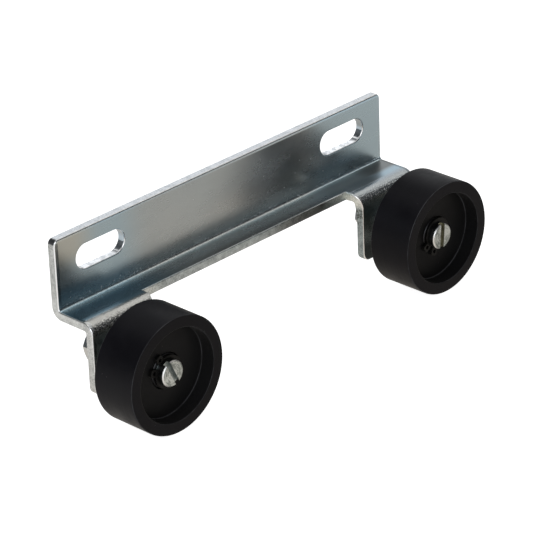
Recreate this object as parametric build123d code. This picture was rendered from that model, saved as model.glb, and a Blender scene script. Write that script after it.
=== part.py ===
from build123d import *
import math
import os

# Sliding door roller: a bent Z-section steel bracket that carries two plastic rollers side by side.
# Millimetres. +X runs along the bracket, +Y points into the door or frame it is screwed to,
# +Z is up. The front of every part faces -Y.
# Origin: centre of the two mounting slots, on the mounting face (the back of the upper flange).

# ---- bracket ---------------------------------------------------------------------------------
LENGTH = 152.0            # overall length of the sheet part
SHEET = 3.0               # sheet thickness
FLANGE_TOP = 9.8          # top edge above the slot centre line
SHELF_TOP = -14.8         # upper face of the shelf
SHELF_BOTTOM = SHELF_TOP - SHEET
TAB_FRONT = -18.3         # front face of the two lower tabs
TAB_BACK = TAB_FRONT + SHEET
TAB_BOTTOM = -40.2        # lower edge of the tabs
TAB_WIDTH = 26.2          # each tab, measured from the bracket's end
TAB_INNER_X = LENGTH / 2 - TAB_WIDTH
BEND_IN = 1.0             # inside bend radius
BEND_OUT = BEND_IN + SHEET
CORNER_R = 2.0            # upper corners of the flange
TAB_CORNER_R = 3.0        # lower corners of the tabs
EDGE_ROLL = 0.5           # die roll: rounding of the sheared edges on the front and upper skin
EDGE_BURR = 0.2           # edge break on the back and lower skin

# Bend centres as (y, z): flange to shelf, then shelf to tabs
UPPER_BEND = (-BEND_OUT, SHELF_TOP + BEND_IN)
LOWER_BEND = (TAB_FRONT + BEND_OUT, SHELF_TOP - BEND_OUT)

# Each side of the sheet: flange y, shelf z, tab y, upper bend radius, lower bend radius
FRONT_SKIN = (-SHEET, SHELF_TOP, TAB_FRONT, BEND_IN, BEND_OUT)
BACK_SKIN = (0.0, SHELF_BOTTOM, TAB_BACK, BEND_OUT, BEND_IN)

# The cut between the tabs is drawn on a plane across the lower bend's bisector.
# There w = (y + z) / sqrt(2) runs down the sheet.
CUT_FRONT = -12.3         # y of the shelf's front edge between the tabs
CUT_HALF = 47.9           # half the cut's width where it meets the shelf
CUT_TOP_W = -10.0
CUT_BOTTOM_W = -70.0
CUT_REACH = 60.0          # cutting distance each way from the bisector plane
CUT_LIMIT = (40.0, 80.0)  # y and z size of the box that the cut is limited to
# Right flank, where the cut widens to the tab: (outward from CUT_HALF, w)
FLARE = [
    (0.0, -20.6), (0.12, -21.8), (0.42, -22.9), (0.76, -23.8),
    (1.07, -24.8), (1.36, -25.6), (1.62, -26.4),
]
FLARE_END_W = -28.4       # where the flare reaches the tab's inner edge

SLOT_SPACING = 113.0
SLOT_LENGTH = 21.0
SLOT_WIDTH = 8.5
SLOT_CUT_START = 5.0      # y behind the flange where the slot cutter starts
SLOT_CUT_DEPTH = 12.0
TAB_HOLE_D = 8.4
HOLE_CUT_LEAD = 2.0       # how far behind the tab the hole cutter starts
HOLE_CUT_DEPTH = 8.0

# ---- rollers ---------------------------------------------------------------------------------
ROLLER_X = 64.0           # the two roller axes are at x = -64 and x = +64
ROLLER_Z = -28.5
ROLLER_D = 40.0
ROLLER_BACK = -26.7
ROLLER_FRONT = -43.4
ROLLER_EDGE_R = 0.4
RECESS_D = 31.9
RECESS_FLOOR = -38.0
RECESS_LIP_R = 0.25
RECESS_ROOT_R = 0.4
WEB_BORE_D = 12.4         # clears the spacer sleeve
SEAT_LEAD = 0.5           # lead-in chamfer of the bearing seat
RELIEF_D = 20.0           # relief in front of the bearing, so the turning web
RELIEF_DEPTH = 0.5        # clears the inner ring, which stands still

# ---- bearing, 9 x 24 x 7 deep groove -----------------------------------------------------------
BRG_FRONT = -35.0
BRG_W = 7.0
BRG_BACK = BRG_FRONT + BRG_W
BRG_MID = BRG_FRONT + BRG_W / 2
BRG_OD = 24.0
BRG_ID = 9.0
SEAT_GAP = 0.005          # radial gap between the outer ring and the roller
INNER_RING_EDGE_R = 0.25
OUTER_RING_EDGE_R = 0.3
PITCH_R = 8.25
BALL_D = 3.969
BALL_N = 7
BALL_START = 0.2          # angle of the first ball, radians
RACE_R = 2.044
RACE_GAP = 0.01
INNER_LAND_R = 7.1
OUTER_LAND_R = 9.5
CAGE_WALL = 1.0
CAGE_HALF_W = 2.35
POCKET_GAP = 0.06         # between a ball and its pocket
SHIELD_SEAT_R = 10.3
SHIELD_GAP = 0.01         # radial gap between a shield and its seat
SHIELD_ID_R = 7.4
SHIELD_T = 0.35
SHIELD_INSET = 0.2

# ---- stub axle ---------------------------------------------------------------------------------
JOURNAL_D = 8.98
AXLE_FRONT = -41.35
AXLE_CHAMFER = 0.35
COLLAR_D = 14.0
COLLAR_CHAMFER = 0.5
SHANK_D = 7.9             # M8 thread crests
THREAD_PITCH = 1.25
THREAD_DEPTH = 0.62
THREAD_START = 0.9        # first groove, behind the washer's back face
THREAD_MARGIN = 0.55      # least length left plain at the end of the stud
THREAD_ROOT_HALF = 0.06   # half the width of a groove's flat root
THREAD_MOUTH = 0.9        # width of a groove at the crests, in pitches
STUD_END = -5.5
STUD_CHAMFER = 0.8
DRIVE_SLOT_W = 1.8
DRIVE_SLOT_DEPTH = 1.5
DRIVE_SLOT_OVERRUN = 2.0  # extra length and depth of the slot cutter

# ---- retaining ring for a 9 mm shaft, and the spacer sleeve behind it ----------------------------
GROOVE_D = 8.6
GROOVE_W = 1.1
CLIP_T = 1.0
CLIP_BACK = -38.1
CLIP_IN_R = 4.31
CLIP_FAR_W = 1.7          # radial width opposite the gap
CLIP_NEAR_W = 0.95        # radial width beside the lugs
CLIP_GAP = 1.5
CLIP_GAP_REACH = 12.0     # length of the gap cutter, from the centre outward
CLIP_HOLE_R = 5.95        # circle the two lug holes lie on
CLIP_HOLE_D = 1.3
CLIP_LUG_END = 1.42       # how far a lug reaches outside the hole circle
CLIP_LUG_ROOT = 0.85      # where a lug starts, as a fraction of the inner radius
CLIP_LUG_W = 2.7          # its width round the ring
CLIP_LUG_CORNER = 0.75
CLIP_LUG_DEG = 22.3       # half the angle between the lug holes
CLIP_EDGE_R = 0.12

SLEEVE_GAP = 0.02         # radial gap over the nominal 9 mm shaft
SLEEVE_OUT_R = 5.85
SLEEVE_CHAMFER = 0.2

# ---- nut and washer ------------------------------------------------------------------------------
WASHER_OD = 16.0
WASHER_ID = 8.4
WASHER_T = 1.6
WASHER_EDGE_R = 0.25
WASHER_BACK = TAB_BACK + WASHER_T
NUT_AF = 13.0             # across flats
NUT_T = 6.3
NUT_BORE_D = 8.0
NUT_FACE_R = NUT_AF * 0.475    # flat circle left on each face
NUT_CHAMFER_DEG = 30.0
NUT_CHAMFER_OVER = 0.3    # how far the chamfer cone runs outside the corners
NUT_SINK = 0.35           # countersink of the bore
SINK_OVERLAP = 0.001      # lifts the countersink cutter off the nut's face
BORE_OVERRUN = 1.0

# Each side: roller axis x, then how its axle's drive slot, its clip's gap and its nut
# are turned, in degrees from +X towards +Z
SIDES = {
    "left": (-ROLLER_X, 114.6, 143.0, 49.5),
    "right": (ROLLER_X, 85.0, -127.7, 7.0),
}


# ==== shared helpers ==============================================================================
def front_plane(x, y):
    """A plane facing the front (-Y), centred on a roller axis: local x is +X, local y is +Z."""
    return Plane(origin=(x, y, ROLLER_Z), x_dir=(1, 0, 0), z_dir=(0, -1, 0))


def spun(x, section):
    """Revolve a section, drawn in (radius, y), about the roller axis at x."""
    plane = Plane(origin=(x, 0, ROLLER_Z), x_dir=(1, 0, 0), z_dir=(0, 0, 1))
    return revolve(plane * section, axis=Axis((x, 0, ROLLER_Z), (0, 1, 0)))


def turned(x, points):
    """Revolve a closed outline of (radius, y) points."""
    return spun(x, make_face(Polyline(*points, close=True)))


def plain_ring(x, r_in, r_out, y_front, y_back):
    """A turned ring of rectangular section."""
    return turned(x, [(r_in, y_front), (r_out, y_front), (r_out, y_back), (r_in, y_back)])


def circle_edges(part, radius, *y_values, tol=0.02):
    """Circular edges of a turned part with this radius, in the planes at these y values."""
    return [
        e for y in y_values for e in part.edges().filter_by(GeomType.CIRCLE)
        if abs(e.radius - radius) < tol
        and abs(e.arc_center.Y - y) < tol
        and abs(abs(e.normal().Y) - 1) < 1e-3
    ]


# ==== bracket =====================================================================================
def z_section():
    """The bent sheet at full length, before anything is cut from it."""
    section = [
        (0.0, FLANGE_TOP), (-SHEET, FLANGE_TOP), (-SHEET, SHELF_TOP), (TAB_FRONT, SHELF_TOP),
        (TAB_FRONT, TAB_BOTTOM), (TAB_BACK, TAB_BOTTOM), (TAB_BACK, SHELF_BOTTOM),
        (0.0, SHELF_BOTTOM),
    ]
    end_plane = Plane(origin=(-LENGTH / 2, 0, 0), x_dir=(0, 1, 0), z_dir=(1, 0, 0))
    body = extrude(end_plane * make_face(Polyline(*section, close=True)), LENGTH)

    def along_x(y, z):
        return [e for e in body.edges().filter_by(Axis.X)
                if abs(e.center().Y - y) < 0.01 and abs(e.center().Z - z) < 0.01]

    body = fillet(along_x(-SHEET, SHELF_TOP) + along_x(TAB_BACK, SHELF_BOTTOM), BEND_IN)
    return fillet(along_x(0.0, SHELF_BOTTOM) + along_x(TAB_FRONT, SHELF_TOP), BEND_OUT)


def middle_cut():
    """Cutter that parts the two tabs and flares round the bend, square to its bisector."""
    flank = [(CUT_HALF + out, w) for out, w in FLARE] + [(TAB_INNER_X, FLARE_END_W)]
    mirrored = [(-x, w) for x, w in reversed(flank)]
    top_left, top_right = (-CUT_HALF, CUT_TOP_W), (CUT_HALF, CUT_TOP_W)
    low_left, low_right = (-TAB_INNER_X, CUT_BOTTOM_W), (TAB_INNER_X, CUT_BOTTOM_W)
    outline = [
        Line(top_left, top_right),
        Line(top_right, flank[0]),
        Spline(*flank, tangents=[(0, -1), (0, -1)]),
        Line(flank[-1], low_right),
        Line(low_right, low_left),
        Line(low_left, mirrored[0]),
        Spline(*mirrored, tangents=[(0, 1), (0, 1)]),
        Line(mirrored[-1], top_left),
    ]
    bisector = Plane(origin=(0, 0, 0), x_dir=(1, 0, 0), z_dir=(0, -1, 1))
    cutter = extrude(bisector * make_face(outline), CUT_REACH, both=True)
    # the box stops the cut at the shelf's front edge
    depth, height = CUT_LIMIT
    return cutter & (Pos(0, CUT_FRONT - depth / 2, -height / 2) * Box(LENGTH, depth, height))


def samples(edge):
    return [edge @ t for t in (0, 0.25, 0.5, 0.75, 1)]


def on_skin(point, skin, tol=0.02):
    """Whether a point lies on this side of the bent sheet."""
    flange_y, shelf_z, tab_y, upper_r, lower_r = skin
    (upper_y, upper_z), (lower_y, lower_z) = UPPER_BEND, LOWER_BEND
    y, z = point.Y, point.Z
    on_flange = abs(y - flange_y) < tol and z >= upper_z - tol
    on_upper_bend = (abs(math.hypot(y - upper_y, z - upper_z) - upper_r) < tol
                     and y >= upper_y - tol and z <= upper_z + tol)
    on_shelf = abs(z - shelf_z) < tol and lower_y - tol <= y <= upper_y + tol
    on_lower_bend = (abs(math.hypot(y - lower_y, z - lower_z) - lower_r) < tol
                     and y <= lower_y + tol and z >= lower_z - tol)
    on_tab = abs(y - tab_y) < tol and z <= lower_z + tol
    return on_flange or on_upper_bend or on_shelf or on_lower_bend or on_tab


def is_bend_line(edge, skin):
    """Whether an edge runs along X at the start or end of a bend."""
    if edge.geom_type != GeomType.LINE or abs(abs((edge % 0.5).X) - 1) > 1e-3:
        return False
    flange_y, shelf_z, tab_y, _, _ = skin
    bend_lines = [(flange_y, UPPER_BEND[1]), (UPPER_BEND[0], shelf_z),
                  (LOWER_BEND[0], shelf_z), (tab_y, LOWER_BEND[1])]
    y, z = edge.center().Y, edge.center().Z
    return any(abs(y - line_y) < 0.02 and abs(z - line_z) < 0.02 for line_y, line_z in bend_lines)


def in_slot(edge, margin):
    centre = edge.center()
    return (abs(abs(centre.X) - SLOT_SPACING / 2) <= SLOT_LENGTH / 2 + margin
            and abs(centre.Z) <= SLOT_WIDTH / 2 + margin)


def near_opening(edge):
    """Whether an edge belongs to a mounting slot or an axle hole."""
    centre = edge.center()
    from_axis = math.hypot(abs(centre.X) - ROLLER_X, centre.Z - ROLLER_Z)
    return in_slot(edge, 0.5) or from_axis < TAB_HOLE_D / 2 + 0.6


def slot_edges(body, y, tol=0.01):
    return [e for e in body.edges()
            if all(abs(p.Y - y) < tol for p in samples(e)) and in_slot(e, tol)]


def outline_edges(body, skin):
    """The sheared outline on one side of the sheet, without bend lines and openings."""
    return [e for e in body.edges()
            if all(on_skin(p, skin) for p in samples(e))
            and not is_bend_line(e, skin) and not near_opening(e)]


def hole_edges(body):
    return [e for e in body.edges().filter_by(GeomType.CIRCLE)
            if abs(e.radius - TAB_HOLE_D / 2) < 0.01]


def make_bracket():
    body = z_section() - middle_cut()

    def corners(z, y_front, y_back):
        return [e for e in body.edges().filter_by(Axis.Y)
                if abs(e.center().Z - z) < 0.01 and y_front <= e.center().Y <= y_back]

    body = fillet(corners(FLANGE_TOP, -SHEET, 0.0), CORNER_R)
    body = fillet(corners(TAB_BOTTOM, TAB_FRONT, TAB_BACK), TAB_CORNER_R)

    # mounting slots in the flange, and the axle holes in the tabs
    slot_plane = Plane(origin=(0, SLOT_CUT_START, 0), x_dir=(1, 0, 0), z_dir=(0, -1, 0))
    for side in (-1, 1):
        slot = Pos(side * SLOT_SPACING / 2, 0) * SlotOverall(SLOT_LENGTH, SLOT_WIDTH)
        body -= extrude(slot_plane * slot, SLOT_CUT_DEPTH)
        hole_plane = front_plane(side * ROLLER_X, TAB_BACK + HOLE_CUT_LEAD)
        body -= extrude(hole_plane * Circle(TAB_HOLE_D / 2), HOLE_CUT_DEPTH)

    # every sheared edge is slightly rounded; the long bend lines are left as they are
    body = fillet(slot_edges(body, -SHEET), EDGE_ROLL)
    body = fillet(slot_edges(body, 0.0), EDGE_BURR)
    body = fillet(outline_edges(body, FRONT_SKIN), EDGE_ROLL)
    body = fillet(outline_edges(body, BACK_SKIN), EDGE_BURR)
    return fillet(hole_edges(body), EDGE_BURR)


# ==== roller and bearing ==========================================================================
def make_roller(x):
    """Wheel with a recess in front, a bearing seat behind and a bored web between them."""
    rim_r, recess_r, seat_r = ROLLER_D / 2, RECESS_D / 2, BRG_OD / 2
    bore_r, relief_r = WEB_BORE_D / 2, RELIEF_D / 2
    relief_y = BRG_FRONT - RELIEF_DEPTH
    roller = turned(x, [
        (bore_r, RECESS_FLOOR), (recess_r, RECESS_FLOOR), (recess_r, ROLLER_FRONT),
        (rim_r, ROLLER_FRONT), (rim_r, ROLLER_BACK), (seat_r + SEAT_LEAD, ROLLER_BACK),
        (seat_r, ROLLER_BACK - SEAT_LEAD), (seat_r, BRG_FRONT), (relief_r, BRG_FRONT),
        (relief_r, relief_y), (bore_r, relief_y),
    ])
    roller = fillet(circle_edges(roller, rim_r, ROLLER_FRONT, ROLLER_BACK), ROLLER_EDGE_R)
    roller = fillet(circle_edges(roller, recess_r, ROLLER_FRONT), RECESS_LIP_R)
    return fillet(circle_edges(roller, recess_r, RECESS_FLOOR), RECESS_ROOT_R)


def race(x, centre_r):
    """Ball groove cutter: a ring of circular section around the roller axis."""
    return spun(x, Pos(centre_r, BRG_MID) * Circle(RACE_R))


def make_inner_ring(x):
    bore_r = BRG_ID / 2
    ring = plain_ring(x, bore_r, INNER_LAND_R, BRG_FRONT, BRG_BACK)
    ring = fillet(circle_edges(ring, bore_r, BRG_FRONT, BRG_BACK), INNER_RING_EDGE_R)
    return ring - race(x, PITCH_R - BALL_D / 2 - RACE_GAP + RACE_R)


def make_outer_ring(x):
    """Outer ring, stepped at both faces to seat the shields."""
    step = SHIELD_INSET + SHIELD_T
    out_r = BRG_OD / 2 - SEAT_GAP
    ring = turned(x, [
        (SHIELD_SEAT_R, BRG_FRONT), (out_r, BRG_FRONT), (out_r, BRG_BACK),
        (SHIELD_SEAT_R, BRG_BACK), (SHIELD_SEAT_R, BRG_BACK - step),
        (OUTER_LAND_R, BRG_BACK - step), (OUTER_LAND_R, BRG_FRONT + step),
        (SHIELD_SEAT_R, BRG_FRONT + step),
    ])
    ring = fillet(circle_edges(ring, out_r, BRG_FRONT, BRG_BACK), OUTER_RING_EDGE_R)
    return ring - race(x, PITCH_R + BALL_D / 2 + RACE_GAP - RACE_R)


def ball_places(x):
    angles = [2 * math.pi * i / BALL_N + BALL_START for i in range(BALL_N)]
    return [Pos(x + PITCH_R * math.cos(a), BRG_MID, ROLLER_Z + PITCH_R * math.sin(a))
            for a in angles]


def make_balls(x):
    return Compound(children=[place * Sphere(BALL_D / 2) for place in ball_places(x)])


def make_cage(x):
    """One-piece ball cage: a thin ring with a round pocket for each ball."""
    cage = plain_ring(x, PITCH_R - CAGE_WALL / 2, PITCH_R + CAGE_WALL / 2,
                      BRG_MID - CAGE_HALF_W, BRG_MID + CAGE_HALF_W)
    for place in ball_places(x):
        cage -= place * Sphere(BALL_D / 2 + POCKET_GAP)
    return cage


def make_shield(x, y_front):
    """Flat ring seated in the outer ring, clear of the inner ring."""
    return plain_ring(x, SHIELD_ID_R, SHIELD_SEAT_R - SHIELD_GAP, y_front, y_front + SHIELD_T)


def make_sleeve(x):
    """Spacer between the retaining ring and the bearing's inner ring."""
    sleeve = plain_ring(x, BRG_ID / 2 + SLEEVE_GAP, SLEEVE_OUT_R, CLIP_BACK, BRG_FRONT)
    return chamfer(circle_edges(sleeve, SLEEVE_OUT_R, CLIP_BACK), SLEEVE_CHAMFER)


# ==== axle, clip, washer, nut =====================================================================
def thread_points(crest_r):
    """Outline of separate V grooves from inside the nut to near the end of the stud."""
    root_r = crest_r - THREAD_DEPTH
    points = []
    y = WASHER_BACK + THREAD_START
    while y + THREAD_PITCH < STUD_END - THREAD_MARGIN:
        root_y = y + THREAD_PITCH / 2
        points += [(crest_r, y), (root_r, root_y - THREAD_ROOT_HALF),
                   (root_r, root_y + THREAD_ROOT_HALF), (crest_r, y + THREAD_MOUTH * THREAD_PITCH)]
        y += THREAD_PITCH
    return points


def make_axle(x, slot_deg):
    """Journal with a clip groove, a collar between bearing and tab, and a threaded stud."""
    journal_r, collar_r, shank_r, groove_r = (d / 2 for d in (JOURNAL_D, COLLAR_D, SHANK_D, GROOVE_D))
    groove_front = CLIP_BACK - (GROOVE_W + CLIP_T) / 2    # the clip sits midway in the groove
    groove_back = groove_front + GROOVE_W
    axle = turned(x, [
        (0, AXLE_FRONT), (journal_r - AXLE_CHAMFER, AXLE_FRONT),
        (journal_r, AXLE_FRONT + AXLE_CHAMFER),
        (journal_r, groove_front), (groove_r, groove_front),
        (groove_r, groove_back), (journal_r, groove_back),
        (journal_r, BRG_BACK), (collar_r - COLLAR_CHAMFER, BRG_BACK),
        (collar_r, BRG_BACK + COLLAR_CHAMFER), (collar_r, TAB_FRONT - COLLAR_CHAMFER),
        (collar_r - COLLAR_CHAMFER, TAB_FRONT), (shank_r, TAB_FRONT),
        *thread_points(shank_r),
        (shank_r, STUD_END - STUD_CHAMFER), (shank_r - STUD_CHAMFER, STUD_END), (0, STUD_END),
    ])
    blade = Rot(0, 0, slot_deg) * Rectangle(JOURNAL_D + DRIVE_SLOT_OVERRUN, DRIVE_SLOT_W)
    slot_floor = front_plane(x, AXLE_FRONT + DRIVE_SLOT_DEPTH)
    return axle - extrude(slot_floor * blade, DRIVE_SLOT_DEPTH + DRIVE_SLOT_OVERRUN)


def make_clip(x, gap_deg):
    """External retaining ring: eccentric ring, open at the gap, with a drilled lug on each side.
    Drawn with the gap towards local +x, then turned to its angle."""
    offset = (CLIP_FAR_W - CLIP_NEAR_W) / 2
    sketch = Pos(-offset, 0) * Circle(CLIP_IN_R + (CLIP_FAR_W + CLIP_NEAR_W) / 2)
    lug_end = CLIP_HOLE_R + CLIP_LUG_END
    lug_length = lug_end - CLIP_IN_R * CLIP_LUG_ROOT
    for side in (-1, 1):
        sketch += (Rot(0, 0, side * CLIP_LUG_DEG) * Pos(lug_end - lug_length / 2, 0)
                   * RectangleRounded(lug_length, CLIP_LUG_W, CLIP_LUG_CORNER))
    sketch -= Circle(CLIP_IN_R)
    sketch -= Pos(CLIP_GAP_REACH / 2, 0) * Rectangle(CLIP_GAP_REACH, CLIP_GAP)
    for side in (-1, 1):
        angle = math.radians(side * CLIP_LUG_DEG)
        hole_place = Pos(CLIP_HOLE_R * math.cos(angle), CLIP_HOLE_R * math.sin(angle))
        sketch -= hole_place * Circle(CLIP_HOLE_D / 2)
    clip = extrude(front_plane(x, CLIP_BACK) * (Rot(0, 0, gap_deg) * sketch), CLIP_T)
    # guards the front edge rounding, which can fail on short edges; the clip then stays sharp
    try:
        front_face = clip.faces().filter_by(Axis.Y).sort_by(Axis.Y)[0]
        clip = fillet(front_face.edges(), CLIP_EDGE_R)
    except Exception:
        pass
    return clip


def make_washer(x):
    washer = plain_ring(x, WASHER_ID / 2, WASHER_OD / 2, TAB_BACK, WASHER_BACK)
    return fillet(circle_edges(washer, WASHER_OD / 2, TAB_BACK, WASHER_BACK), WASHER_EDGE_R)


def make_nut(x, turn_deg):
    """Hexagon nut with chamfered corners and a plain, countersunk bore."""
    front, back = WASHER_BACK, WASHER_BACK + NUT_T
    hexagon = Rot(0, 0, turn_deg) * RegularPolygon(NUT_AF / 2, 6, major_radius=False)
    nut = extrude(front_plane(x, back) * hexagon, NUT_T)

    cone_r = NUT_AF / math.sqrt(3) + NUT_CHAMFER_OVER
    cone_depth = (cone_r - NUT_FACE_R) * math.tan(math.radians(NUT_CHAMFER_DEG))
    nut = nut & turned(x, [
        (0, front), (NUT_FACE_R, front), (cone_r, front + cone_depth),
        (cone_r, back - cone_depth), (NUT_FACE_R, back), (0, back),
    ])

    bore_r = NUT_BORE_D / 2
    nut = nut - plain_ring(x, 0, bore_r, front - BORE_OVERRUN, back + BORE_OVERRUN)
    for face_y, outward in ((front, -1), (back, 1)):
        mouth_y = face_y + outward * SINK_OVERLAP
        root_y = face_y - outward * NUT_SINK
        nut = nut - turned(x, [
            (0, mouth_y), (bore_r + NUT_SINK, mouth_y), (bore_r, root_y), (0, root_y),
        ])
    return nut


# ==== output ======================================================================================
def write(name, shape):
    shape.label = name
    export_step(shape, f"parts/{name}.step")


os.makedirs("parts", exist_ok=True)
write("bracket", make_bracket())
for side, (x, slot_deg, gap_deg, nut_deg) in SIDES.items():
    write(f"{side}_roller", make_roller(x))
    write(f"{side}_bearing_outer_ring", make_outer_ring(x))
    write(f"{side}_bearing_inner_ring", make_inner_ring(x))
    write(f"{side}_bearing_balls", make_balls(x))
    write(f"{side}_bearing_cage", make_cage(x))
    write(f"{side}_bearing_front_shield", make_shield(x, BRG_FRONT + SHIELD_INSET))
    write(f"{side}_bearing_rear_shield", make_shield(x, BRG_BACK - SHIELD_INSET - SHIELD_T))
    write(f"{side}_spacer_sleeve", make_sleeve(x))
    write(f"{side}_axle", make_axle(x, slot_deg))
    write(f"{side}_circlip", make_clip(x, gap_deg))
    write(f"{side}_axle_washer", make_washer(x))
    write(f"{side}_axle_nut", make_nut(x, nut_deg))
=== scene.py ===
"""Folded, zinc-plated sheet bracket carrying two nylon rollers, on a white studio table.

Metres, +Z up, front towards -Y. The upright plate lies along X with a slot near each end. At its
foot the sheet folds forward into a shelf, then down at each end into a tab. A roller turns in
front of each tab on an axle along Y.
"""
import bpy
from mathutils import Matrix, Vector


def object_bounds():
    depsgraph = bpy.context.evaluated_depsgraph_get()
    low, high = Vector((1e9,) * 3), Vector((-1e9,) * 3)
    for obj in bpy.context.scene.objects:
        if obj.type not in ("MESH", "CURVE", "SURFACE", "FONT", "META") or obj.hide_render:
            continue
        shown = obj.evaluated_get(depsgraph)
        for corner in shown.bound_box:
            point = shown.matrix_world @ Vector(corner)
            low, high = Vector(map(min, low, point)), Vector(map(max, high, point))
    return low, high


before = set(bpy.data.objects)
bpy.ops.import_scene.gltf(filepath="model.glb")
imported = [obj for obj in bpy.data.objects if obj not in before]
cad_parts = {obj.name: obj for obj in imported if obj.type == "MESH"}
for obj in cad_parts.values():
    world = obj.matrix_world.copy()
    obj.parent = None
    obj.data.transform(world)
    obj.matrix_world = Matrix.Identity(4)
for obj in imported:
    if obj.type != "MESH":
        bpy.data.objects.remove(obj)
cad_lo, cad_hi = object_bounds()

from types import SimpleNamespace

import bmesh
import bpy
from mathutils import Matrix, Vector

scene = bpy.context.scene
MM = 0.001
SIDES = {"left": -1, "right": 1}

# places on the product
AXLE_X = 64.0                # millimetres either side of the middle
AXLE_Z = -28.5 * MM
SLOT_X = 56.5 * MM           # slot centres, either side of the middle
SHELF_EDGE_Y = -12.3 * MM    # the shelf's cut edge between the tabs


# --- shader nodes ---------------------------------------------------------------------------
def feed(socket, value):
    """Link a Value to an input, or set the input to a constant."""
    if isinstance(value, Value):
        socket.id_data.links.new(value.socket, socket)
    elif socket.type == "RGBA":
        socket.default_value = (*value, 1.0)
    else:
        socket.default_value = value


def add_node(tree, kind, inputs=None, **settings):
    node = tree.nodes.new(kind)
    for name, setting in settings.items():
        setattr(node, name, setting)
    for key, value in (inputs or {}).items():
        feed(node.inputs[key], value)
    return node


class Value:
    """A node output. Arithmetic and the methods below add nodes that work on it."""

    def __init__(self, socket):
        self.socket = socket

    def apply(self, kind, inputs, output=0, **settings):
        node = add_node(self.socket.id_data, kind, inputs, **settings)
        return Value(node.outputs[output])

    def math(self, operation, other=None, clamp=False):
        inputs = {0: self} if other is None else {0: self, 1: other}
        return self.apply("ShaderNodeMath", inputs, operation=operation, use_clamp=clamp)

    def __add__(self, other):
        return self.math("ADD", other)

    def __sub__(self, other):
        return self.math("SUBTRACT", other)

    def __mul__(self, other):
        return self.math("MULTIPLY", other)

    def __abs__(self):
        return self.math("ABSOLUTE")

    def max(self, other, clamp=False):
        return self.math("MAXIMUM", other, clamp)

    def inverse(self):
        """1 - value, clamped."""
        return self.apply("ShaderNodeMath", {0: 1.0, 1: self}, operation="SUBTRACT", use_clamp=True)

    def length_with(self, other):
        return (self * self + other * other).math("SQRT")

    def vector(self, operation, other=None, output=0):
        inputs = {0: self} if other is None else {0: self, 1: other}
        return self.apply("ShaderNodeVectorMath", inputs, output, operation=operation)

    def split(self):
        node = add_node(self.socket.id_data, "ShaderNodeSeparateXYZ", {0: self})
        return [Value(output) for output in node.outputs]

    def join(self, y=0.0, z=0.0):
        return self.apply("ShaderNodeCombineXYZ", {0: self, 1: y, 2: z})

    def ramp(self, over=None, mm=None, to=(0.0, 1.0)):
        """Smooth step across `over` (or `mm`, in millimetres); a falling range reverses it."""
        start, end = over if mm is None else (mm[0] * MM, mm[1] * MM)
        inputs = {"Value": self, "From Min": start, "From Max": end,
                  "To Min": to[0], "To Max": to[1]}
        return self.apply("ShaderNodeMapRange", inputs,
                          interpolation_type="SMOOTHSTEP", clamp=True)

    def noise(self, scale, detail=3.0, rough=0.5, distort=0.0):
        inputs = {"Vector": self, "Scale": scale, "Detail": detail,
                  "Roughness": rough, "Distortion": distort}
        return self.apply("ShaderNodeTexNoise", inputs)

    def voronoi(self, scale, feature="F1"):
        inputs = {"Vector": self, "Scale": scale}
        return self.apply("ShaderNodeTexVoronoi", inputs, "Distance", feature=feature)

    def between(self, low, high):
        """A number mixed from low to high by this mask."""
        return self.apply("ShaderNodeMix", {0: self, 2: low, 3: high},
                          data_type="FLOAT", clamp_factor=True)

    def colors(self, low, high):
        """A colour mixed from low to high by this mask."""
        return self.apply("ShaderNodeMix", {0: self, 6: low, 7: high}, 2,
                          data_type="RGBA", blend_type="MIX", clamp_factor=True)

    def tint(self, mask, color, strength=None):
        """This colour moved towards another where the mask is set."""
        if strength is not None:
            mask = mask * strength
        return mask.colors(self, color)

    def bump(self, depth, normal=None):
        """A normal from this height (0 to 1); depth in metres."""
        inputs = {"Strength": 1.0, "Distance": depth, "Height": self}
        if normal is not None:
            inputs["Normal"] = normal
        return self.apply("ShaderNodeBump", inputs)


class Material:
    """A Principled material, with the object-space position and normal at hand."""
    CHANNELS = {"color": "Base Color", "rough": "Roughness", "metal": "Metallic",
                "normal": "Normal", "specular": "Specular IOR Level", "ior": "IOR"}

    def __init__(self, name):
        self.material = bpy.data.materials.new(name)
        self.material.use_nodes = True
        self.tree = self.material.node_tree
        self.tree.nodes.clear()
        self.out = add_node(self.tree, "ShaderNodeOutputMaterial")
        self.bsdf = add_node(self.tree, "ShaderNodeBsdfPrincipled")
        self.surface = Value(self.bsdf.outputs[0])
        feed(self.out.inputs[0], self.surface)
        coord = add_node(self.tree, "ShaderNodeTexCoord")
        self.position = Value(coord.outputs["Object"])
        self.normal = Value(coord.outputs["Normal"])

    def finish(self, **channels):
        for name, value in channels.items():
            feed(self.bsdf.inputs[self.CHANNELS[name]], value)
        return self.material


def dimmed(color, factor):
    return tuple(level * factor for level in color)


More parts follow.
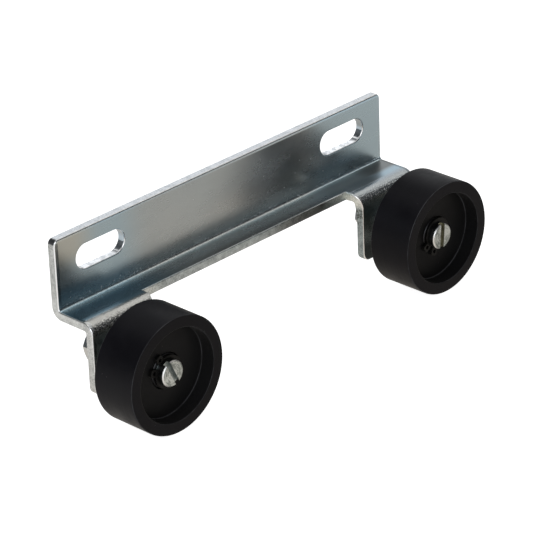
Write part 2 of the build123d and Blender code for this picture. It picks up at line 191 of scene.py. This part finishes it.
# --- zinc-plated sheet ----------------------------------------------------------------------
def sheet_zones(mat):
    """Masks for parts of the bracket, found from position and normal."""
    x, y, z = mat.position.split()
    nx, ny, nz = mat.normal.split()
    out_x = abs(x)

    # sheared edges: side ends, plate top, tab feet, shelf edge between the tabs, slot walls
    ends = abs(nx).ramp(over=(0.25, 0.6))
    top = z.ramp(mm=(9.35, 9.6)) * nz.ramp(over=(0.2, 0.6))
    foot = z.ramp(mm=(-39.6, -39.9)) * nz.ramp(over=(-0.2, -0.6))
    cut = abs(y - SHELF_EDGE_Y).ramp(mm=(0.35, 0.2)) * ny.ramp(over=(-0.2, -0.6))
    cut = cut * out_x.ramp(mm=(49.4, 48.6))
    slot_box = abs(z).ramp(mm=(4.45, 4.3)) * abs(out_x - SLOT_X).ramp(mm=(10.8, 10.6))
    slot_wall = slot_box * abs(ny).ramp(over=(0.8, 0.4))
    sheared = ends.max(top).max(foot.max(cut).max(slot_wall), clamp=True)

    # the outer bend between shelf and tab, and the crease between plate and shelf
    bend = y.ramp(mm=(-12.6, -15.0)) * z.ramp(mm=(-21.5, -17.6))
    crease = (y + 3.7 * MM).length_with(z + 14.1 * MM).ramp(mm=(1.7, 0.5))

    # the shelf's top face
    on_shelf = nz.ramp(over=(0.9, 0.98)) * (
        z.ramp(mm=(-13.0, -14.2)) * y.ramp(mm=(-14.6, -13.2)))

    # rounded upper corners, and rims whose normals lean forward and left, which get a painted
    # highlight
    corner = abs(nx).ramp(over=(0.15, 0.35)) * abs(nz).ramp(over=(0.15, 0.35))
    corner = corner * abs(ny).ramp(over=(0.4, 0.2)) * z.ramp(mm=(4.0, 6.5))
    highlit_rim = ny.ramp(over=(-0.22, -0.45)) * abs(abs(nx) - 0.6).ramp(over=(0.36, 0.24))
    highlit_rim = highlit_rim * nx.ramp(over=(0.0, -0.15))
    return SimpleNamespace(
        xyz=(x, y, z), ny=ny, out_x=out_x, ends=ends, top=top, foot=foot, cut=cut,
        slot_wall=slot_wall, sheared=sheared, bend=bend, crease=crease, on_shelf=on_shelf,
        far_end=on_shelf * x.ramp(mm=(38.0, 52.0)), corner=corner, highlit_rim=highlit_rim)


def sheet_textures(mat, zone):
    """Noise fields and speck masks shared by colour, roughness and relief."""
    _, y, z = zone.xyz
    pos = mat.position

    # bright raised pips, kept off the sheared edges
    pips = pos.voronoi(scale=430.0).ramp(over=(0.085, 0.05))
    pips = pips * pos.noise(scale=300.0, detail=0.0).ramp(over=(0.56, 0.60))
    pips = pips * zone.sheared.inverse()

    # burnished dots along the fold between plate and shelf
    dots = pos.voronoi(scale=900.0).ramp(over=(0.40, 0.26))
    dots = dots * pos.noise(scale=330.0, detail=1.0).ramp(over=(0.40, 0.60))
    dots = dots * (abs(z + 13.5 * MM).ramp(mm=(1.5, 0.3)) * y.ramp(mm=(-4.6, -4.0)))
    dots = dots * zone.sheared.inverse()

    # fracture grain: mostly fine, some coarse
    fracture = (pos.noise(scale=2600.0, detail=3.0, rough=0.7) * 0.7
                + pos.noise(scale=420.0, detail=2.0, rough=0.6) * 0.3)
    return SimpleNamespace(
        broad=pos.noise(scale=22.0, detail=2.0, rough=0.55, distort=0.4),
        streaks=pos.vector("MULTIPLY", (0.35, 1.0, 1.0)).noise(
            scale=160.0, detail=4.0, rough=0.6),
        spark=pos.noise(scale=1750.0, detail=2.0, rough=0.65),
        pips=pips, dots=dots, fracture=fracture)


def sheet_face_color(mat, zone, tex):
    """Plating on the rolled faces: grey grain with blue and straw tints, and painted shade,
    highlights and reflections.
    """
    x, y, z = zone.xyz
    pos = mat.position
    color = tex.broad.ramp(over=(0.36, 0.66)).colors((0.465, 0.520, 0.545), (0.500, 0.525, 0.530))
    streaks = tex.streaks.ramp(over=(0.35, 0.75), to=(0.0, 0.4))
    color = color.tint(streaks, (0.450, 0.495, 0.520))
    fine = pos.noise(scale=2600.0, detail=2.0, rough=0.6)
    color = color.tint(fine.ramp(over=(0.35, 0.7), to=(0.0, 0.22)), (0.36, 0.39, 0.40))

    # bluer towards the two ends
    blue = zone.out_x.ramp(mm=(34.0, 50.0)) * tex.broad.ramp(over=(0.25, 0.6), to=(0.55, 1.0))
    color = color.tint(blue, (0.440, 0.560, 0.635))

    # bright pips and dark pits
    color = color.tint(tex.pips, (0.86, 0.87, 0.86), strength=0.8)
    pits = pos.vector("ADD", (0.31, 0.17, 0.05)).voronoi(scale=520.0).ramp(over=(0.075, 0.045))
    pit_patches = pos.vector("ADD", (0.1, 0.3, 0.2)).noise(scale=260.0, detail=0.0)
    pits = pits * pit_patches.ramp(over=(0.60, 0.64))
    color = color.tint(pits, (0.2, 0.21, 0.22), strength=0.35)

    # the strip of shelf behind the middle: a painted reflection, bright and blue; then the outer
    # bend
    painted_reflection_strip = y.ramp(mm=(-3.2, -4.2)) * y.ramp(mm=(-11.5, -7.5))
    painted_reflection_color = x.ramp(mm=(-52.0, -30.0)).colors((0.55, 0.80, 0.93), (0.86, 0.97, 1.0))
    color = color.tint(painted_reflection_strip, painted_reflection_color, strength=0.9)
    # painted shade on the outer bend, darker and bluer to the right
    bend_painted_shade = x.ramp(mm=(20.0, 55.0)).colors((0.440, 0.445, 0.435), (0.370, 0.405, 0.435))
    color = color.tint(zone.bend, bend_painted_shade, strength=0.9)

    # painted glints and specks of painted shade, strongest on the lower bend
    low = zone.bend * z.ramp(mm=(-15.1, -16.9), to=(0.06, 1.0))
    color = color.tint(low * 0.80, (0.13, 0.135, 0.14), strength=tex.spark.ramp(over=(0.53, 0.43)))
    color = color.tint(low, (0.90, 0.91, 0.92),
                       strength=tex.spark.ramp(over=(0.55, 0.62), to=(0.0, 0.9)))
    color = color.tint(tex.dots, (0.46, 0.50, 0.52), strength=0.75)

    # straw at the plate's upper left
    straw = x.ramp(mm=(-56.0, -69.0)) * z.ramp(mm=(-4.0, 4.0))
    color = color.tint(straw, (0.560, 0.560, 0.510), strength=0.85)

    # the shelf: a painted highlight in a pale band at the fold, and painted shade, darker and
    # bluer, to the left
    crease_painted_highlight = abs(y + 4.7 * MM).ramp(mm=(1.5, 0.3)) * z.ramp(mm=(-13.2, -14.2))
    color = color.tint(crease_painted_highlight, (0.80, 0.95, 1.0),
                       strength=tex.spark.ramp(over=(0.40, 0.58), to=(0.5, 1.0)))
    shelf_painted_shade = zone.on_shelf * (x.ramp(mm=(-20.0, -50.0)) * y.ramp(mm=(-5.0, -8.0)))
    color = color.tint(shelf_painted_shade, (0.245, 0.400, 0.500), strength=0.85)

    # its right end: painted shade near the fold, fading out towards the outer bend
    end_painted_shade = y.ramp(mm=(-11.6, -8.8)).max(x.ramp(mm=(67.0, 59.0)))
    end_painted_shade = zone.on_shelf * x.ramp(mm=(34.0, 48.0)) * end_painted_shade
    color = color.tint(end_painted_shade, (0.160, 0.157, 0.150),
                       strength=x.ramp(mm=(58.0, 66.0), to=(0.52, 0.86)))

    # the tabs' front faces get painted shade
    tab = z.ramp(mm=(-16.7, -18.6)) * zone.ny.ramp(over=(-0.5, -0.9))
    return color.tint(tab, (0.105, 0.113, 0.102), strength=0.85)


def sheet_edge_color(mat, zone, tex, color):
    """Sheared edges with fracture grain, then the smooth corners and rims; several edges get
    painted shade and painted highlights.
    """
    x, _, z = zone.xyz

    def grain(over, low, high):
        return tex.fracture.ramp(over=over).colors(low, high)

    # side ends, with painted shade higher up
    color = color.tint(zone.ends, grain((0.37, 0.61), (0.42, 0.425, 0.415), (0.74, 0.745, 0.725)))
    color = color.tint(zone.ends, grain((0.36, 0.62), (0.20, 0.21, 0.20), (0.50, 0.505, 0.48)),
                       strength=z.ramp(mm=(-13.0, -10.0), to=(0.0, 0.45)))

    # inner side edges of the tabs, with painted highlight higher up and painted shade lower down,
    # and a mottled stretch
    inner = zone.ends * zone.out_x.ramp(mm=(60.0, 58.0))
    high = z.ramp(mm=(-21.5, -18.5))
    color = color.tint(inner, grain((0.36, 0.62),
                                    high.colors((0.22, 0.26, 0.27), (0.55, 0.59, 0.56)),
                                    high.colors((0.50, 0.57, 0.585), (0.97, 1.0, 0.97))))
    mottled = inner * (z.ramp(mm=(-20.0, -21.5)) * z.ramp(mm=(-27.5, -25.5)))
    color = color.tint(mottled, (0.10, 0.11, 0.105), strength=tex.fracture.ramp(over=(0.56, 0.46)))

    # plate top, tab feet and shelf edge
    color = color.tint(zone.top, grain((0.40, 0.58), (0.62, 0.65, 0.67), (0.90, 0.925, 0.95)))
    color = color.tint(zone.foot.max(zone.cut),
                       grain((0.36, 0.62), (0.28, 0.315, 0.33), (0.66, 0.72, 0.74)))

    # shelf edge: painted shade right of the middle, painted highlight close to the tabs
    dim = x.ramp(mm=(4.0, 26.0), to=(0.0, 0.80)) * x.ramp(mm=(41.0, 35.0))
    color = color.tint(zone.cut, grain((0.40, 0.58), (0.09, 0.09, 0.085), (0.28, 0.285, 0.27)),
                       strength=dim)
    lit = x.ramp(mm=(37.0, 44.0)).max(x.ramp(mm=(-37.0, -48.0), to=(0.0, 0.8)))
    color = color.tint(zone.cut, grain((0.36, 0.60), (0.40, 0.43, 0.42), (0.95, 0.98, 0.95)),
                       strength=lit)

    # slot walls, with painted shade, darker and bluer, high on their right-hand ends
    wall = mat.position.noise(scale=520.0, detail=3.0, rough=0.55).ramp(over=(0.40, 0.54))
    color = color.tint(zone.slot_wall, wall.colors((0.68, 0.70, 0.715), (0.98, 0.985, 0.99)))
    from_left = x + SLOT_X
    from_right = x - SLOT_X
    slot_end_painted_shade = from_left.ramp(mm=(6.2, 8.0)) * from_left.ramp(mm=(12.0, 11.0))
    slot_end_painted_shade = slot_end_painted_shade.max(from_right.ramp(mm=(6.2, 8.0)))
    slot_end_painted_shade = slot_end_painted_shade * zone.slot_wall * z.ramp(mm=(-2.4, -1.0))
    color = color.tint(slot_end_painted_shade, (0.40, 0.47, 0.52), strength=0.9)

    color = color.tint(zone.corner, (0.42, 0.41, 0.40))
    # painted highlight on the rims that face forward and left
    return color.tint(zone.highlit_rim, (0.97, 0.97, 0.97))


def sheet_roughness(zone, tex):
    rough = tex.streaks.ramp(over=(0.3, 0.8), to=(0.235, 0.31))
    rough = rough + tex.broad.ramp(over=(0.3, 0.7), to=(-0.02, 0.03))
    levels = (
        # mask, roughness there
        (zone.bend, 0.19),
        (zone.far_end, 0.36),
        (zone.sheared, 0.40),
        (zone.slot_wall, 0.15),
        (zone.corner.max(zone.highlit_rim * 0.8), 0.16),
        (tex.pips * 0.7, 0.5),
    )
    for mask, level in levels:
        rough = mask.between(rough, level)
    return rough


def sheet_relief(mat, zone, tex):
    """Normals, built up from the broad shapes to the fine grain."""
    x, y, z = zone.xyz
    pos = mat.position

    # the side ends and top edge roll over, and the left part sags at the front
    roll = zone.out_x.ramp(mm=(75.9, 74.3)) * z.ramp(mm=(9.7, 8.6), to=(0.65, 1.0))
    normal = roll.bump(depth=0.00030)
    sag = x.ramp(mm=(-30.0, -52.0)) * zone.ends.inverse()
    sag = sag.between(1.0, y.ramp(mm=(-16.4, -12.0)))
    normal = sag.bump(depth=0.00034, normal=normal)

    # gentle waves everywhere, and dents at the shelf's right end
    wave = pos.vector("MULTIPLY", (0.5, 1.0, 1.0)).noise(scale=42.0, detail=1.0, rough=0.4)
    normal = wave.bump(depth=0.00002, normal=normal)
    dent = pos.vector("MULTIPLY", (1.0, 0.7, 1.0)).noise(scale=130.0, detail=1.0, rough=0.4)
    normal = (dent * zone.far_end).bump(depth=0.00022, normal=normal)

    # orange peel on the outer bend, fainter in the crease
    peel = (pos.noise(scale=1800.0, detail=1.0, rough=0.6) * 0.75
            + pos.voronoi(scale=1900.0, feature="SMOOTH_F1") * 0.45)
    peeled = zone.bend * z.ramp(mm=(-14.9, -16.3), to=(0.20, 1.0)) + zone.crease * 0.22
    peeled = peeled * zone.sheared.inverse()
    normal = (peel * peeled).bump(depth=0.00036, normal=normal)

    # faint grain and pips, with strong fracture grain where the edges aren't smooth
    grain = pos.noise(scale=1500.0, detail=2.0, rough=0.5) * 0.012 + tex.pips * 0.10
    smooth = zone.corner.max(zone.highlit_rim).max(zone.slot_wall * 0.88)
    grain = grain + tex.fracture * (zone.sheared * smooth.inverse()) * 0.34
    return grain.bump(depth=0.00010, normal=normal)


def zinc_sheet():
    """Bright zinc-plated rolled sheet with coarse sheared edges."""
    mat = Material("zinc_plated_sheet")
    zone = sheet_zones(mat)
    tex = sheet_textures(mat, zone)
    color = sheet_face_color(mat, zone, tex)
    color = sheet_edge_color(mat, zone, tex, color)
    # dots and pips are less metallic than the plating
    metal = (tex.dots.max(tex.pips * 0.8) * 0.75).inverse()
    return mat.finish(color=color, rough=sheet_roughness(zone, tex), metal=metal,
                      normal=sheet_relief(mat, zone, tex), specular=0.5)


# --- rollers, axles and hardware ------------------------------------------------------------
def about_axle(mat, sign):
    """Radius from the axle, the x and z offsets behind it, and y."""
    x, y, z = mat.position.split()
    dx = x - sign * AXLE_X * MM
    dz = z - AXLE_Z
    return dx.length_with(dz), dx, dz, y


def normal_band(ny, rising, falling):
    """Mask of surfaces whose normals lie between facing along Y and across it."""
    return abs(ny).ramp(over=rising) * abs(ny).ramp(over=falling)


def nylon(side, sign):
    """Black turned nylon: rings on the faces, scuffs on the tread, a trace of dust."""
    AXIAL_STRETCH = 1.0       # of the turning marks, along radius or width
    INNER_SHADE = {"left": 1.0, "right": 0.72}[side]
    mat = Material(f"black_nylon_{side}")
    pos = mat.position
    radius, dx, dz, y = about_axle(mat, sign)
    ny = mat.normal.split()[1]

    rings = (radius * AXIAL_STRETCH).join().noise(scale=2600.0, detail=3.0, rough=0.7)
    tread = (y * AXIAL_STRETCH).join(dx.math("ARCTAN2", dz) * 0.0006)
    tread = tread.noise(scale=1500.0, detail=3.0, rough=0.7)
    turning = abs(ny).ramp(over=(0.6, 0.9)).between(tread, rings)
    cloud = pos.noise(scale=120.0, detail=4.0, rough=0.6)
    grain = pos.noise(scale=4200.0, detail=2.0, rough=0.6)
    scuffs = (y * 0.16).join(dx.math("ARCTAN2", dz) * 0.02, radius)
    scuffs = scuffs.noise(scale=900.0, detail=5.0, rough=0.7).ramp(over=(0.60, 0.74))
    dust = (pos.voronoi(scale=520.0).ramp(over=(0.055, 0.03))
            * pos.noise(scale=240.0, detail=0.0).ramp(over=(0.60, 0.64)))

    color = cloud.ramp(over=(0.35, 0.7)).colors((0.0064, 0.0059, 0.0080), (0.0090, 0.0084, 0.0110))
    # painted light on the faces within 16 mm of the axle, the recess, lighter towards its wall;
    # INNER_SHADE dims it on the right roller as painted shade
    recess_painted_light = radius.ramp(mm=(16.6, 16.2)) * y.ramp(mm=(-44.0, -43.0))
    recess_painted_color = radius.ramp(mm=(15.2, 15.7)).colors(
        dimmed((0.0105, 0.0103, 0.0108), INNER_SHADE),
        dimmed((0.0130, 0.0128, 0.0134), INNER_SHADE))
    color = color.tint(recess_painted_light, recess_painted_color)
    color = color.tint(scuffs, (0.016, 0.016, 0.017), strength=0.3)
    color = color.tint(dust, (0.30, 0.30, 0.29), strength=0.7)
    # a painted highlight on the rim's corner
    highlit_rim = normal_band(ny, rising=(0.15, 0.5), falling=(0.97, 0.8))
    color = color.tint(highlit_rim, (0.060, 0.060, 0.064),
                       strength=cloud.ramp(over=(0.4, 0.6), to=(0.45, 1.0)))

    rough = cloud.ramp(over=(0.3, 0.75), to=(0.38, 0.50)) + scuffs * 0.12
    rough = rough + turning.ramp(over=(0.3, 0.7), to=(-0.03, 0.03))
    normal = pos.noise(scale=80.0, detail=1.0).bump(depth=0.00006)
    normal = (turning * 0.6 + grain * 0.25).bump(depth=0.000022, normal=normal)
    # the sheen is stronger where the roller is mirrored in the plated sheet
    path = add_node(mat.tree, "ShaderNodeLightPath")
    sheen = Value(path.outputs["Is Glossy Ray"]).between(0.10, 1.60)
    return mat.finish(color=color, rough=rough, metal=0.0, normal=normal, specular=sheen, ior=1.50)


def axle_steel(side, sign):
    """Turned steel: rings on flat faces, lines round the barrel."""
    SHADE = {"left": 1.0, "right": 0.88}[side]
    # end slot colour per side: painted shade, teal on the left and yellowish on the right as a
    # painted reflection
    GROOVE_PAINTED_SHADE = {"left": (0.34, 0.385, 0.385), "right": (0.50, 0.49, 0.38)}[side]
    mat = Material(f"axle_steel_{side}")
    radius, dx, dz, y = about_axle(mat, sign)
    ny = mat.normal.split()[1]

    rings = radius.join(dz.math("ARCTAN2", dx) * 0.00045)
    rings = rings.noise(scale=2400.0, detail=3.0, rough=0.7)
    lines = y.join().noise(scale=3000.0, detail=3.0, rough=0.7)
    turning = abs(ny).ramp(over=(0.6, 0.9)).between(lines, rings)
    cloud = mat.position.noise(scale=420.0, detail=4.0, rough=0.6)
    grain = mat.position.noise(scale=3800.0, detail=2.0, rough=0.6)

    wear = (cloud + turning) * 0.38 + grain * 0.24
    color = wear.ramp(over=(0.43, 0.56)).colors(
        dimmed((0.25, 0.28, 0.27), SHADE), dimmed((0.74, 0.78, 0.765), SHADE))
    # painted shade in the slot in the axle end, tinted per side as a painted reflection
    groove = y.ramp(mm=(-41.30, -41.15)) * radius.ramp(mm=(4.46, 4.40))
    groove_painted_color = cloud.ramp(over=(0.35, 0.65)).colors(dimmed(GROOVE_PAINTED_SHADE, 0.6), GROOVE_PAINTED_SHADE)
    color = color.tint(groove, groove_painted_color, strength=0.85)
    # painted shade on the barrel in front of the circlip, down in the roller's recess
    barrel = radius.ramp(mm=(4.40, 4.46)) * (
        abs(ny).ramp(over=(0.5, 0.3)) * y.ramp(mm=(-36.0, -38.0)))
    color = color.tint(barrel, (0.055, 0.058, 0.060), strength=0.85)
    # a painted highlight on the front chamfer
    chamfer_painted_highlight = normal_band(ny, rising=(0.45, 0.6), falling=(0.93, 0.82))
    color = color.tint(chamfer_painted_highlight * y.ramp(mm=(-40.9, -41.05)), (0.97, 0.97, 0.96))

    rough = (cloud.ramp(over=(0.3, 0.7), to=(0.30, 0.42))
             + turning.ramp(over=(0.3, 0.7), to=(-0.04, 0.04)))
    normal = (turning * 0.6 + grain * 0.4).bump(depth=0.00007)
    return mat.finish(color=color, rough=rough, metal=1.0, normal=normal)


def clip_steel():
    """Phosphated spring steel, brown-black, rubbed bright on its edges."""
    mat = Material("spring_steel_black")
    cloud = mat.position.noise(scale=500.0, detail=4.0, rough=0.65)
    grain = mat.position.noise(scale=4200.0, detail=2.0, rough=0.7)
    edge = normal_band(mat.normal.split()[1], rising=(0.2, 0.6), falling=(0.98, 0.8))
    color = cloud.ramp(over=(0.35, 0.7)).colors((0.0052, 0.0049, 0.0046), (0.0128, 0.0118, 0.0108))
    color = color.tint(edge, (0.050, 0.047, 0.043),
                       strength=cloud.ramp(over=(0.35, 0.65), to=(0.1, 0.8)))
    return mat.finish(color=color, rough=cloud.ramp(over=(0.3, 0.7), to=(0.36, 0.5)), metal=0.0,
                      normal=grain.bump(depth=0.00002), specular=0.16)


def zinc_hardware():
    """Zinc-plated nuts and washers, with marks drawn out along Y."""
    mat = Material("zinc_hardware")
    cloud = mat.position.noise(scale=260.0, detail=4.0, rough=0.6)
    grain = mat.position.noise(scale=3000.0, detail=2.0, rough=0.6)
    color = cloud.ramp(over=(0.35, 0.68)).colors((0.55, 0.575, 0.59), (0.68, 0.67, 0.64))
    color = color.tint(grain.ramp(over=(0.45, 0.75), to=(0.0, 0.25)), (0.38, 0.38, 0.38))
    drawn = mat.position.vector("MULTIPLY", (1.0, 0.08, 1.0))
    drawn = drawn.noise(scale=2400.0, detail=3.0, rough=0.65)
    return mat.finish(color=color, rough=cloud.ramp(over=(0.3, 0.7), to=(0.26, 0.38)), metal=1.0,
                      normal=(drawn * 0.6 + grain * 0.4).bump(depth=0.00003))


def plain_steel(name, base, rough):
    mat = Material(name)
    cloud = mat.position.noise(scale=600.0, detail=3.0)
    fine = mat.position.noise(scale=4000.0, detail=2.0)
    return mat.finish(color=cloud.ramp(over=(0.3, 0.7)).colors(dimmed(base, 0.85), base),
                      rough=fine.ramp(over=(0.3, 0.7), to=(rough - 0.04, rough + 0.06)),
                      metal=1.0, normal=fine.bump(depth=0.000008))


def dress(name, material):
    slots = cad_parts[name].data.materials
    slots.clear()
    slots.append(material)


def dress_all():
    dress("bracket", zinc_sheet())
    clip = clip_steel()
    hardware = zinc_hardware()
    bearing = plain_steel("bearing_steel", base=(0.66, 0.66, 0.67), rough=0.16)
    cage = plain_steel("bearing_cage_steel", base=(0.50, 0.48, 0.44), rough=0.34)
    shield = plain_steel("shield_steel", base=(0.60, 0.60, 0.60), rough=0.24)
    oxide = plain_steel("black_oxide_steel", base=(0.06, 0.06, 0.065), rough=0.38)
    shared = {
        "circlip": clip, "axle_nut": hardware, "axle_washer": hardware, "spacer_sleeve": oxide,
        "bearing_outer_ring": bearing, "bearing_inner_ring": bearing, "bearing_balls": bearing,
        "bearing_cage": cage, "bearing_front_shield": shield, "bearing_rear_shield": shield,
    }
    for side, sign in SIDES.items():
        dress(f"{side}_roller", nylon(side, sign))
        dress(f"{side}_axle", axle_steel(side, sign))
        for piece, material in shared.items():
            dress(f"{side}_{piece}", material)


dress_all()

# --- floor ----------------------------------------------------------------------------------
FLOOR_Z = cad_lo.z - 0.00002
FLOOR_SIZE = 6.0
FLOOR_CELLS = 24
FLOOR_GLOW = 0.92                     # added brightness where seen directly
# a painted shadow seen only in reflections: darker, warm floor round the spot, fading to light grey
# away from it
FLOOR_SHADOW_SPOT = (0.07, -0.06, FLOOR_Z)   # middle of the fall-off seen in reflections
FLOOR_MIRRORED_SHADOW = (0.62, 0.575, 0.52)      # mirrored colour at the spot
FLOOR_FAR = (0.95, 0.95, 0.94)        # mirrored colour away from it


def floor_material():
    """Almost evenly white to the camera, light grey when mirrored in the metal, with a painted
    shadow round a spot in front of the object that only reflections show.
    """
    mat = Material("studio_floor")
    tone = mat.position.noise(scale=3.0, detail=2.0).ramp(over=(0.3, 0.7))
    mat.finish(color=tone.colors((0.80, 0.80, 0.80), (0.82, 0.82, 0.82)),
               rough=0.9, metal=0.0, specular=0.0)
    path = add_node(mat.tree, "ShaderNodeLightPath")
    to_camera = Value(path.outputs["Is Camera Ray"])
    to_mirror = Value(path.outputs["Is Glossy Ray"])
    table = mat.surface

    glow = table.apply("ShaderNodeEmission", {0: (1.0, 1.0, 1.0), 1: FLOOR_GLOW})
    glowing = table.apply("ShaderNodeAddShader", {0: table, 1: glow})
    seen = table.apply("ShaderNodeMixShader", {0: to_camera, 1: table, 2: glowing})
    # in reflections the floor shows the painted shadow round the spot
    distance = mat.position.vector("SUBTRACT", FLOOR_SHADOW_SPOT).vector("LENGTH", output="Value")
    falloff = distance.ramp(over=(0.11, 0.24)).colors(FLOOR_MIRRORED_SHADOW, FLOOR_FAR)
    mirrored = table.apply("ShaderNodeEmission", {0: falloff, 1: 1.0})
    both = table.apply("ShaderNodeMixShader", {0: to_mirror, 1: seen, 2: mirrored})
    feed(mat.out.inputs[0], both)
    return mat.material


def add_floor():
    mesh_data = bmesh.new()
    steps = [(i / FLOOR_CELLS - 0.5) * FLOOR_SIZE for i in range(FLOOR_CELLS + 1)]
    rows = [[mesh_data.verts.new((x, y, FLOOR_Z)) for x in steps] for y in steps]
    for near, far in zip(rows, rows[1:]):
        for i in range(FLOOR_CELLS):
            mesh_data.faces.new((near[i], near[i + 1], far[i + 1], far[i]))
    mesh = bpy.data.meshes.new("studio_floor")
    mesh_data.to_mesh(mesh)
    mesh_data.free()
    floor = bpy.data.objects.new("studio_floor", mesh)
    scene.collection.objects.link(floor)
    mesh.materials.append(floor_material())


add_floor()

# --- light ----------------------------------------------------------------------------------
ROOM = (0.030, 0.034, 0.038)   # dim colour of the room between the screens
# soft glowing screens: direction, colour, strength, tightness
SCREENS = (
    ((0.68, 0.62, 0.40), (0.98, 1.00, 1.03), 0.90, 12.0),    # back right
    ((0.64, 0.05, 0.77), (1.06, 1.00, 0.92), 0.95, 12.0),    # right
    ((0.60, -0.35, 0.72), (1.00, 0.96, 0.92), 0.20, 12.0),   # right front
    ((0.10, 1.00, 0.15), (0.90, 1.00, 1.10), 0.60, 9.0),     # back
    ((-0.66, -0.62, 0.42), (0.98, 1.00, 1.02), 2.4, 16.0),   # camera side
    ((-1.00, 0.15, 0.10), (0.95, 1.00, 1.04), 0.45, 9.0),    # left
)


def add_soft_box(name, place, target, size, watts):
    """A square white area light."""
    light = bpy.data.lights.new(name, "AREA")
    light.shape = "RECTANGLE"
    light.size = light.size_y = size
    light.energy = watts
    light.color = (1, 1, 1)
    box = bpy.data.objects.new(name, light)
    scene.collection.objects.link(box)
    box.location = place
    box.rotation_mode = "QUATERNION"
    box.rotation_quaternion = (Vector(target) - Vector(place)).to_track_quat("-Z", "Y")


def studio_world():
    """The screens light the room; the camera sees a plain white backdrop."""
    world = bpy.data.worlds.new("studio")
    scene.world = world
    world.use_nodes = True
    tree = world.node_tree
    tree.nodes.clear()
    out = add_node(tree, "ShaderNodeOutputWorld")
    view = Value(add_node(tree, "ShaderNodeTexCoord").outputs["Generated"])
    total = None
    for direction, color, strength, tightness in SCREENS:
        facing = view.vector("DOT_PRODUCT", Vector(direction).normalized(), output="Value")
        reach = facing.max(0.0).math("POWER", tightness)
        glow = reach.apply("ShaderNodeVectorMath", {0: dimmed(color, strength), "Scale": reach},
                           operation="SCALE")
        total = glow.vector("ADD", ROOM) if total is None else total.vector("ADD", glow)
    room = view.apply("ShaderNodeBackground", {0: total})
    backdrop = view.apply("ShaderNodeBackground", {0: (1.0, 1.0, 1.0)})
    path = add_node(tree, "ShaderNodeLightPath")
    to_camera = Value(path.outputs["Is Camera Ray"])
    both = view.apply("ShaderNodeMixShader", {0: to_camera, 1: room, 2: backdrop})
    feed(out.inputs[0], both)


add_soft_box("overhead", place=(-0.1, 0.15, 0.9), target=(0, 0, -0.02), size=0.9, watts=2.5)
studio_world()

# --- camera ---------------------------------------------------------------------------------
CAMERA_PLACE = Vector((-0.65617, -0.67033, 0.43253))
# the camera's own axes in the scene
CAMERA_RIGHT = Vector((0.6910660, -0.7219764, -0.0343208))
CAMERA_UP = Vector((0.3405545, 0.2833565, 0.8965109))
CAMERA_BACK = Vector((-0.6375347, -0.6312363, 0.4416903))


def add_camera():
    lens = bpy.data.cameras.new("camera")
    lens.sensor_width = 36.0
    lens.lens = 212.025
    lens.clip_start = 0.05
    lens.clip_end = 20.0
    camera = bpy.data.objects.new("camera", lens)
    scene.collection.objects.link(camera)
    axes = Matrix((CAMERA_RIGHT, CAMERA_UP, CAMERA_BACK)).transposed()
    camera.rotation_mode = "QUATERNION"
    camera.rotation_quaternion = axes.to_quaternion()
    camera.location = CAMERA_PLACE
    scene.camera = camera


add_camera()
scene.view_settings.view_transform = "Standard"
scene.view_settings.look = "None"
scene.view_settings.exposure = 0.0
scene.view_settings.gamma = 1.0
